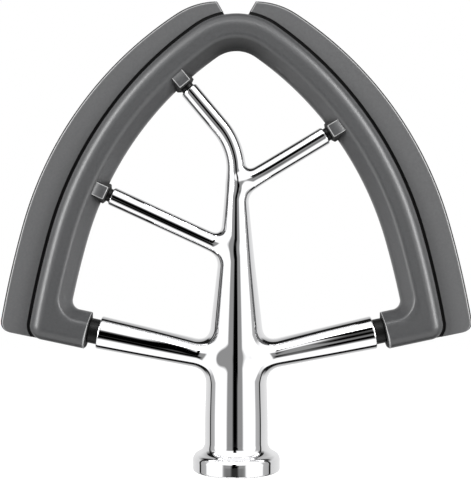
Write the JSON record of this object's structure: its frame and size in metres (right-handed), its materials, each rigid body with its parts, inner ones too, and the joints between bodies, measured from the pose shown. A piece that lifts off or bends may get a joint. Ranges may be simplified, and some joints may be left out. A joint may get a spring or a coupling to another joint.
{
  "type": "stand mixer flat beater",
  "caption": "Flat beater for a stand mixer: polished branching casting with a bayonet drive hub, a grey moulded arch and soft scraper edges.",
  "frame": {"origin": "centre of the hub's mouth face, on the drive axis", "axes": "+Z along the drive axis from the hub's mouth to the blade tips, +X across the arch to the right, +Y from the front to the back"},
  "size_m": [0.143, 0.0264, 0.1422],
  "materials": {
    "polished_metal": "polished",
    "grey_moulding": "matte",
    "grey_silicone": "matte",
    "black_rubber": "satin"
  },
  "bodies": {
    "root": {"spider": "polished_metal", "frame": "grey_moulding", "scraper_left": "grey_silicone", "scraper_right": "grey_silicone", "sleeve_lower_left": "black_rubber", "sleeve_lower_right": "black_rubber", "sleeve_mid_left": "black_rubber", "sleeve_upper_left": "black_rubber", "sleeve_upper_right": "black_rubber"}
  },
  "joints": []
}
